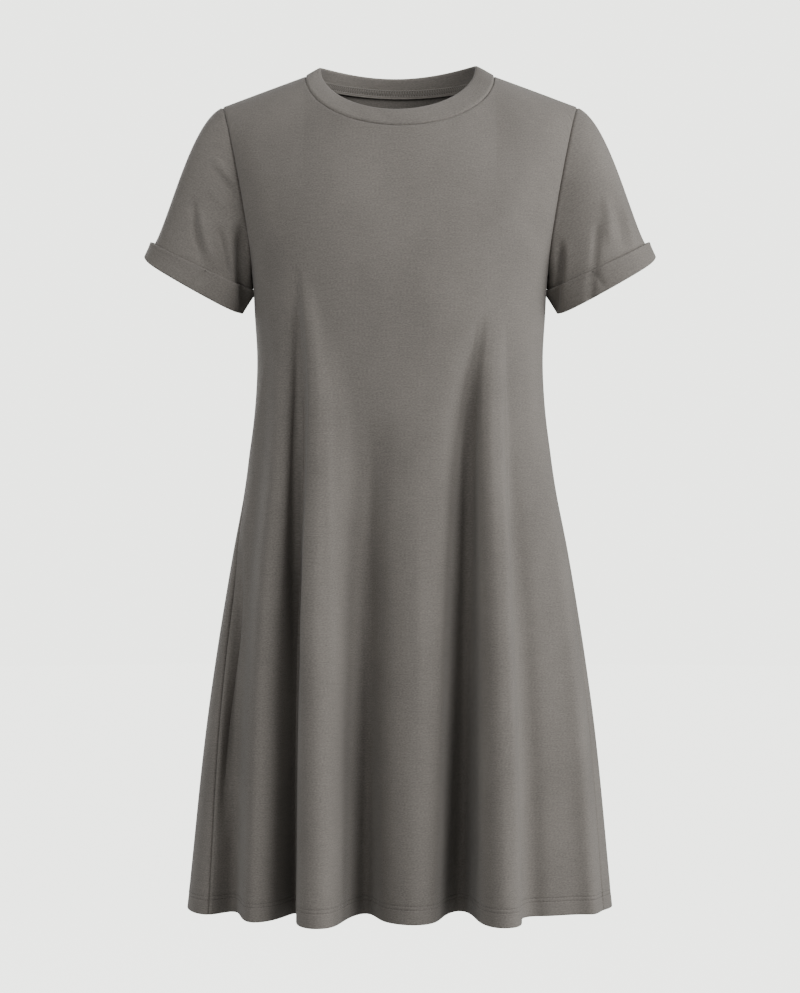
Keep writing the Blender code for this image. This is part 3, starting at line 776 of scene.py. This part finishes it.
def cuff_profile():
    """Round the cuff's section: share of its height, distance below its end, and distance out."""
    half = CUFF_THICK / 2
    middle = CUFF_OFF_SLEEVE + half
    top, bottom = CUFF_STRAIGHT
    turns = np.linspace(0, math.pi, CUFF_TURN_STEPS)[1:-1]
    profile = [(share, 0.0, middle - half) for share in np.linspace(top, bottom, CUFF_SIDE_STEPS)]
    for angle in turns:
        profile.append((0.0, CUFF_FOLD_ROUND * half * math.sin(angle), middle - half * math.cos(angle)))
    for share in np.linspace(bottom, top, CUFF_SIDE_STEPS):
        profile.append((share, 0.0, middle + half + CUFF_WAVE * math.sin(math.pi * share)))
    for angle in turns:
        profile.append((top, -CUFF_TOP_ROUND * half * math.sin(angle), middle + half * math.cos(angle)))
    return profile


def ring_mesh(name, grid):
    """A mesh closed both ways from rings of points."""
    rows, columns = grid.shape[:2]
    whole = np.concatenate([grid, grid[:1]], axis=0)
    whole = np.concatenate([whole, whole[:, :1]], axis=1)
    uv = np.stack([length_from(whole, 1), length_from(whole, 0)], axis=2)
    return mesh_object(name, grid.reshape(-1, 3), *grid_faces((rows, columns), uv, rows, columns))


def neckband(piece):
    uv = cloth_uv(piece["grid"], True)
    roll_into_seams(piece)
    grid = drawn_in(piece, SEAM_GAP / 2)
    from_seam = length_from(grid, 0)
    from_top = from_seam[-1] - from_seam
    share = np.clip(from_seam / from_seam[-1], 0, 1)
    puff = BAND_PUFF * np.sin(math.pi * share**0.7) ** 0.8
    outer = grid + piece["through"] * puff[:, :, None]
    inner = grid - piece["through"] * (DOUBLE + 0.3 * puff)[:, :, None]
    half = rounded(from_top, DOUBLE / 2)[:, :, None]
    middle = (outer + inner) / 2
    piece["inner"] = inner
    return shell(piece["name"], middle + (outer - middle) * half, middle + (inner - middle) * half, uv, True)


def tubes(name, paths, radius):
    """Threads of one radius along these paths, each a list of points and of the ways out from the cloth."""
    points, quads = [], []
    sides = THREAD_SIDES
    around = np.linspace(0, 2 * math.pi, sides + 1)[:-1]
    for path, outwards in paths:
        along_path = np.gradient(path, axis=0)
        along_path /= np.linalg.norm(along_path, axis=1)[:, None]
        beside = np.cross(along_path, outwards)
        beside /= np.linalg.norm(beside, axis=1)[:, None]
        lifted = np.cross(beside, along_path)
        start = sum(len(group) for group in points)
        rings = (
            path[:, None]
            + radius * np.cos(around)[None, :, None] * beside[:, None]
            + radius * np.sin(around)[None, :, None] * lifted[:, None]
        )
        points.append(rings.reshape(-1, 3))
        count = len(path)
        quads.append(grid_faces((count, sides), None, count - 1, sides)[0] + start)
        last = (count - 1) * sides
        first_cap = np.array([[3, 2, 1, 0], [5, 4, 3, 0]])
        last_cap = np.array([[0, 1, 2, 3], [0, 3, 4, 5]]) + last
        quads.append(np.concatenate([first_cap, last_cap]) + start)
    return mesh_object(name, np.concatenate(points), np.concatenate(quads))


def stitches(row, outwards, length, gap, rise):
    """Short stitches along a row of points on the cloth, which dip into it at their ends."""
    steps = np.linalg.norm(np.diff(row, axis=0), axis=1)
    place = np.concatenate([[0], np.cumsum(steps)])
    count = int(place[-1] / (length + gap))
    pitch = place[-1] / count
    lift = rise * np.array(STITCH_LIFTS)
    paths = []
    for k in range(count):
        wanted = k * pitch + gap / 2 + (pitch - gap) * np.array(STITCH_PLACES)
        out = sampled(outwards, place, wanted)
        paths.append((sampled(row, place, wanted) + out * lift[:, None], out))
    return paths


def hem_stitches(panels):
    thread = HEM_THREAD
    paths = []
    for piece in panels:
        heights = piece["outer"][:, 0, 2] - HEM_Z
        for stitch in HEM_STITCHES:
            row = int(np.argmin(np.abs(heights - stitch)))
            outer, through = piece["outer"][row], piece["through"][row]
            paths += stitches(outer, through, thread["length"], thread["gap"], thread["rise"])
    return tubes("hem_stitches", paths, thread["radius"])


def on_band(piece, column, up, off):
    """A point inside the neckband: up from its seam, and off from its inner face."""
    inner, through = piece["inner"], piece["through"]
    columns = inner.shape[1]
    i = np.floor(column).astype(int)
    t = (column - i)[:, None]
    first, second = inner[:, i % columns], inner[:, (i + 1) % columns]
    line = first * (1 - t) + second * t
    out = through[:, i % columns] * (1 - t) + through[:, (i + 1) % columns] * t
    height = length_from(line, 0)
    share = np.clip(up / height[-1], 0, 1) * (len(line) - 1)
    low = np.minimum(share.astype(int), len(line) - 2)
    part = (share - low)[:, None]
    every = np.arange(len(column))
    place = line[low, every] * (1 - part) + line[low + 1, every] * part
    normal = out[low, every]
    return place - normal * off[:, None], -normal


def neck_seam_edge(piece):
    """The overlocked edge of the neck seam, all round inside the band."""
    columns = np.arange(piece["inner"].shape[1]).astype(float)
    ones = np.ones_like(columns)
    ragged = sum(high * np.sin(columns * turns + start) for high, turns, start in ALLOWANCE_WAVES)
    ups = np.linspace(0.0004, 1, ALLOWANCE_STEPS)
    rings = []
    for up in ups:
        rings.append(on_band(piece, columns, up * (ALLOWANCE + ragged), 0.00012 * ones)[0])
    for up in ups[::-1]:
        thick = ALLOWANCE_THICK * (1 - 0.35 * up)
        rings.append(on_band(piece, columns, up * (ALLOWANCE + ragged), thick * ones)[0])
    return ring_mesh("neck_seam_edge", np.array(rings))


def overlock_threads(piece):
    """A zigzag of thread over the neck seam's edge, and the looped chain along its top."""
    columns = piece["inner"].shape[1]
    around = np.linalg.norm(np.diff(piece["inner"][0], axis=0), axis=1).sum()
    count = int(around / OVERLOCK["pitch"])
    points = count * OVERLOCK["steps"] + 1
    place = np.linspace(0, columns, points)
    turn = np.linspace(0, count, points)
    zig = np.abs((turn % 1) * 2 - 1)
    up = OVERLOCK["low"] + (ALLOWANCE - 0.0022) * zig
    off = ALLOWANCE_THICK + 0.00010 + 0.00020 * np.sin(math.pi * zig)
    zigzag = on_band(piece, place, up, off)
    chain_turn = np.linspace(0, 2 * math.pi * count, points)
    up = ALLOWANCE - 0.0002 + 0.00035 * np.sin(chain_turn)
    chain = on_band(piece, place, up, ALLOWANCE_THICK * 0.65 + 0.0002 + 0.00012 * np.cos(chain_turn))
    off = ALLOWANCE_THICK + 0.00005 + 0.00018 * np.abs(np.sin(chain_turn))
    needle = on_band(piece, place, np.full(points, OVERLOCK["needle"]), off)
    return tubes("neck_overlock_threads", [zigzag, chain, needle], OVERLOCK["radius"])


def tack(name, piece, rings, at_x):
    """Three small threads that catch the cuff's top edge to the sleeve."""
    top_row = 2 * CUFF_SIDE_STEPS + (CUFF_TURN_STEPS - 2) - 1
    front = np.where(piece["normals"][-CUFF_ROWS][:, 1] < -0.2)[0]
    column = front[np.argmin(np.abs(rings[top_row][front, 0] - at_x))]
    normal = piece["normals"][-CUFF_ROWS][column]
    up = piece["grid"][-CUFF_ROWS - 1][column] - piece["grid"][-CUFF_ROWS][column]
    up = up / np.linalg.norm(up)
    beside = np.cross(up, normal)
    paths = []
    for shift in (-TACK_THREAD["apart"], 0, TACK_THREAD["apart"]):
        foot = rings[top_row][column] + beside * shift
        path = foot + np.outer(TACK_UPS, up) + np.outer(TACK_LIFTS, normal)
        paths.append((path, np.tile(normal, (len(path), 1))))
    return tubes(name, paths, TACK_THREAD["radius"])


# ---------------------------------------------------------------- materials


class Socket:
    """A shader value that can be used in Python expressions."""

    def __init__(self, finish, link):
        self.finish, self.link = finish, link

    def _with(self, operation, *values):
        return self.finish.node("ShaderNodeMath", {"operation": operation}, values)

    def __add__(self, other):
        return self._with("ADD", self, other)

    def __sub__(self, other):
        return self._with("SUBTRACT", self, other)

    def __rsub__(self, other):
        return self._with("SUBTRACT", other, self)

    def __mul__(self, other):
        return self._with("MULTIPLY", self, other)

    def __truediv__(self, other):
        return self._with("DIVIDE", self, other)

    def __pow__(self, other):
        return self._with("POWER", self, other)

    __radd__ = __add__

    def part(self):
        return self._with("FRACT", self)

    def size(self):
        return self._with("ABSOLUTE", self)

    def wave(self):
        return self._with("SINE", self)


class Finish:
    """A material in the making."""

    def __init__(self, name):
        self.material = bpy.data.materials.new(name)
        self.material.use_nodes = True
        self.tree = self.material.node_tree
        self.shader = self.tree.nodes["Principled BSDF"]

    def node(self, kind, settings=None, values=(), out=0):
        """Any node: its settings are set first, then its sockets' values or links, by order or by name."""
        made = self.tree.nodes.new(kind)
        for key, value in (settings or {}).items():
            setattr(made, key, value)
        items = values.items() if isinstance(values, dict) else enumerate(values)
        for key, value in items:
            self.put(made.inputs[key], value)
        return Socket(self, made.outputs[out])

    def put(self, socket, value):
        if isinstance(value, Socket):
            self.tree.links.new(value.link, socket)
        elif value is not None:
            socket.default_value = value

    def set(self, **sockets):
        for name, value in sockets.items():
            self.put(self.shader.inputs[name.replace("_", " ")], value)

    def noise(self, where, grain):
        """Noise about 0, finer or coarser across the cloth and up it, as the grain says."""
        scaled = [where, (grain["across"], grain["up"], 1.0)]
        place = self.node("ShaderNodeVectorMath", {"operation": "MULTIPLY"}, scaled)
        values = {"Vector": place, "Scale": 1.0, "Detail": grain["detail"], "Roughness": grain["roughness"]}
        return self.node("ShaderNodeTexNoise", {}, values) - 0.5

    def mixed(self, share, first, second):
        settings = {"data_type": "RGBA", "clamp_factor": True}
        return self.node("ShaderNodeMix", settings, {0: share, 6: first, 7: second}, out=2)


def jersey(name, colours):
    """Plain jersey: rows of small V stitches, a faint heather, and a soft matte sheen."""
    cloth = Finish(name)
    place = cloth.node("ShaderNodeUVMap", {"uv_map": "cloth"})
    apart = cloth.tree.nodes.new("ShaderNodeSeparateXYZ")
    cloth.put(apart.inputs[0], place)
    across, up = Socket(cloth, apart.outputs[0]), Socket(cloth, apart.outputs[1])
    off_wale = ((across / WALE).part() - 0.5).size() * 2
    loops = (((up / COURSE) + off_wale * 0.5) * (2 * math.pi)).wave()
    knit = loops * 0.5 * (1 - off_wale**2 * 0.6)
    fibres = cloth.noise(place, FIBRES)
    tone = 0.5 + knit * 0.10 + fibres * FIBRES["tone"]
    for grain in (SLUBS, CLOUDS):
        tone = tone + cloth.noise(place, grain) * grain["tone"]
    cloth.set(Base_Color=cloth.mixed(tone, colours["dark"], colours["light"]))
    cloth.set(Roughness=0.80 + fibres * 0.16)
    height = knit + fibres * 1.4
    bump = cloth.node("ShaderNodeBump", {}, {"Strength": 0.35, "Distance": 0.00035, "Height": height})
    cloth.set(Normal=bump, Sheen_Weight=0.18, Sheen_Roughness=0.45, Specular_IOR_Level=0.18)
    return cloth.material


def dress():
    """Every piece of the dress, each riding on the part's one body."""
    front_grid = body_grid(FRONT)
    back_grid = body_grid(BACK)
    left = sleeve_grid(front_grid, back_grid)
    front = new_piece("front_panel", front_grid, False, (-1,))
    back = new_piece("back_panel", back_grid[:, ::-1], False, (-1,))
    sleeve_left = new_piece("left_sleeve", left, True, (0,))
    sleeve_right = new_piece("right_sleeve", mirrored(left), True, (0,))
    band = new_piece("crew_neckband", band_grid(front_grid, back_grid), True, (0,))
    seam_directions([front, back, sleeve_left, sleeve_right, band])
    body_cloth = jersey("taupe_jersey", TAUPE)
    thread = jersey("pale_taupe_thread", PALE_TAUPE)
    hem_thread = jersey("dark_taupe_thread", DARK_TAUPE)
    made = {}
    for piece, maker, node, slot in (
        (front, panel, "front", "jersey"),
        (back, panel, "back", "jersey"),
        (sleeve_left, sleeve, "sleeve_left", "jersey"),
        (sleeve_right, sleeve, "sleeve_right", "jersey"),
        (band, neckband, "neckband", "neckband"),
    ):
        made[node] = maker(piece)
        finish_piece(made[node], body_cloth, (node,))
    for node, piece, name, at_x in (
        ("cuff_left", sleeve_left, "left_cuff", TACKS[0]),
        ("cuff_right", sleeve_right, "right_cuff", TACKS[1]),
    ):
        rings = cuff(piece)
        made[node] = ring_mesh(name, rings)
        finish_piece(made[node], body_cloth, (node,))
        caught = tack(name + "_tack", piece, rings, at_x)
        made[node.replace("cuff", "tack")] = caught
        finish_piece(caught, hem_thread, ())
    edge, overlock, hem = neck_seam_edge(band), overlock_threads(band), hem_stitches([front, back])
    finish_piece(edge, body_cloth, ())
    finish_piece(overlock, thread, ())
    finish_piece(hem, hem_thread, ())
    for side in ("left", "right"):
        tube, turned, caught = made["sleeve_" + side], made["cuff_" + side], made["tack_" + side]


def finish_piece(piece, cloth, nodes):
    """Gives a piece its cloth, the part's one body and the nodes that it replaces."""
    piece.data.materials.append(cloth)
    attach(piece, "root")
    if nodes:
        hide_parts(*nodes)


# ---------------------------------------------------------------- studio

CAMERA_DISTANCE = 2.5
CAMERA_Z = -0.4384
LENS = 86.7
SENSOR = 36
BACKGROUND = (3.15, 3.20, 3.03)
FLOOR_Z = -1.45
FLOOR_RADIUS = 12.0
FLOOR_COLOUR = (0.16, 0.16, 0.158, 1)
WORLD_LIGHT = 0.35
LIGHT_SIZE = 1.6
LIGHTS_AIM = (0, 0, -0.42)
LIGHTS = (  # name, place and power
    ("key", (2.2, -2.2, 0.8), 58),
    ("side", (3.0, -0.45, 0.4), 64),
    ("front_left", (-1.4, -2.8, 0.7), 20),
    ("left", (-2.8, -1.2, 0.5), 14),
    ("back", (-1.2, 2.7, 0.7), 56),
)


def area_light(name, place, power):
    """A round soft light that points at the middle of the dress."""
    lamp = bpy.data.lights.new(name, "AREA")
    lamp.shape = "DISK"
    lamp.size = LIGHT_SIZE
    lamp.energy = power
    light = bpy.data.objects.new(name, lamp)
    light.location = place
    light.rotation_euler = (Vector(LIGHTS_AIM) - Vector(place)).to_track_quat("-Z", "Y").to_euler()
    bpy.context.scene.collection.objects.link(light)


def studio():
    """The camera straight in front, the soft lights, and a plain pale backdrop."""
    camera = bpy.data.objects.new("camera", bpy.data.cameras.new("camera"))
    camera.data.lens = LENS
    camera.data.sensor_width = SENSOR
    camera.location = (0, -CAMERA_DISTANCE, CAMERA_Z)
    camera.rotation_euler = Euler((math.pi / 2, 0, 0))
    bpy.context.scene.collection.objects.link(camera)
    bpy.context.scene.camera = camera
    for light in LIGHTS:
        area_light(*light)
    world = bpy.data.worlds.new("studio")
    bpy.context.scene.world = world
    world.use_nodes = True
    tree = world.node_tree
    tree.nodes.clear()
    backgrounds = []
    for colour, strength in (((1, 1, 1), WORLD_LIGHT), (BACKGROUND, 1)):
        background = tree.nodes.new("ShaderNodeBackground")
        background.inputs[0].default_value = (*colour, 1)
        background.inputs[1].default_value = strength
        backgrounds.append(background.outputs[0])
    for_camera(tree, *backgrounds, tree.nodes.new("ShaderNodeOutputWorld").inputs[0])


def for_camera(tree, unseen, seen, out):
    """Gives the camera's own rays the seen shader, and all other rays the unseen one."""
    rays = tree.nodes.new("ShaderNodeLightPath").outputs["Is Camera Ray"]
    mix = tree.nodes.new("ShaderNodeMixShader")
    for socket, link in zip(mix.inputs, (rays, unseen, seen), strict=True):
        tree.links.new(link, socket)
    tree.links.new(mix.outputs[0], out)


def floor():
    """A plain pale floor under the dress, as bright to the camera as the backdrop."""
    middle = (0, 0, FLOOR_Z)
    bpy.ops.mesh.primitive_circle_add(vertices=96, radius=FLOOR_RADIUS, fill_type="NGON", location=middle)
    ground = bpy.context.object
    ground.name = "floor"
    pale = Finish("floor")
    pale.set(Base_Color=FLOOR_COLOUR, Roughness=0.9)
    glow = pale.tree.nodes.new("ShaderNodeEmission")
    glow.inputs[0].default_value = (*BACKGROUND, 1)
    both = pale.tree.nodes.new("ShaderNodeAddShader")
    unlit = pale.shader.outputs[0]
    pale.tree.links.new(unlit, both.inputs[0])
    pale.tree.links.new(glow.outputs[0], both.inputs[1])
    for_camera(pale.tree, unlit, both.outputs[0], pale.tree.nodes["Material Output"].inputs[0])
    ground.data.materials.append(pale.material)


dress()
studio()
floor()
